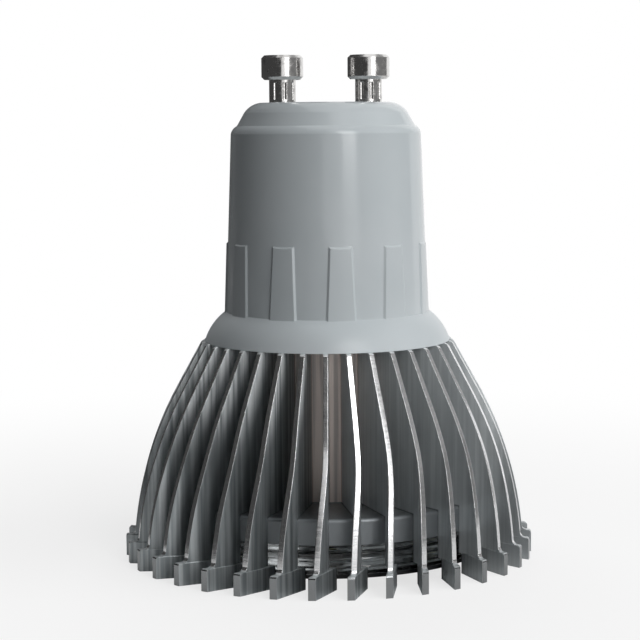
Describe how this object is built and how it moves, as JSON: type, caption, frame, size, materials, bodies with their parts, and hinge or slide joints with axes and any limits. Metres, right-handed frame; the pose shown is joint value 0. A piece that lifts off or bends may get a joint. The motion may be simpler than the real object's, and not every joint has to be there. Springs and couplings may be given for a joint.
{
  "type": "led spotlight bulb",
  "caption": "LED spotlight bulb with a finned aluminium bell, a white plastic base housing and wide-headed contact pins",
  "frame": {"origin": "centre of the plane that the fin tabs stand on", "axes": "+Z is the lamp's axis, towards the contact pins; the pins are spaced along X; -Y is the picture's front"},
  "size_m": [0.048, 0.048, 0.0583],
  "materials": {
    "aluminium": "bare aluminium, turned on its outer edges",
    "white_plastic": "satin gloss moulded plastic",
    "bright_nickel": "polished plating",
    "clear_plastic": "clear moulded plastic",
    "black_plastic": "matt black moulding",
    "screw_steel": "plain steel",
    "white_board": "white coated aluminium board",
    "pad_grey": "soft grey sheet",
    "led_package": "white ceramic",
    "led_dome": "clear yellow silicone",
    "green_board": "green coated board",
    "ferrite": "dark ferrite",
    "yellow_tape": "yellow tape over wire",
    "can_sleeve": "dark shrunk sleeve",
    "black_epoxy": "black moulded epoxy",
    "film_yellow": "yellow moulded box",
    "resistor_body": "blue grey lacquer",
    "lead_red": "red wire cover",
    "lead_black": "black wire cover",
    "lead_white": "white wire cover"
  },
  "bodies": {
    "root": {"heat_sink": "aluminium", "base_housing": "white_plastic", "contact_pin_left": "bright_nickel", "contact_pin_right": "bright_nickel", "lens": "clear_plastic", "lens_ring": "black_plastic", "lens_screws": "screw_steel", "housing_screws": "screw_steel", "led_board": "white_board", "thermal_pad": "pad_grey", "led_1": "led_package", "led_2": "led_package", "led_3": "led_package", "led_dome_1": "led_dome", "led_dome_2": "led_dome", "led_dome_3": "led_dome", "driver_board": "green_board", "transformer_core": "ferrite", "transformer_winding": "yellow_tape", "smoothing_capacitor": "can_sleeve", "output_capacitor": "can_sleeve", "film_capacitor": "film_yellow", "bridge_rectifier": "black_epoxy", "driver_chip": "black_epoxy", "fuse_resistor": "resistor_body", "filter_coil": "ferrite", "pin_lead_left": "lead_white", "pin_lead_right": "lead_white", "led_lead_negative": "lead_black", "led_lead_positive": "lead_red"}
  },
  "joints": []
}
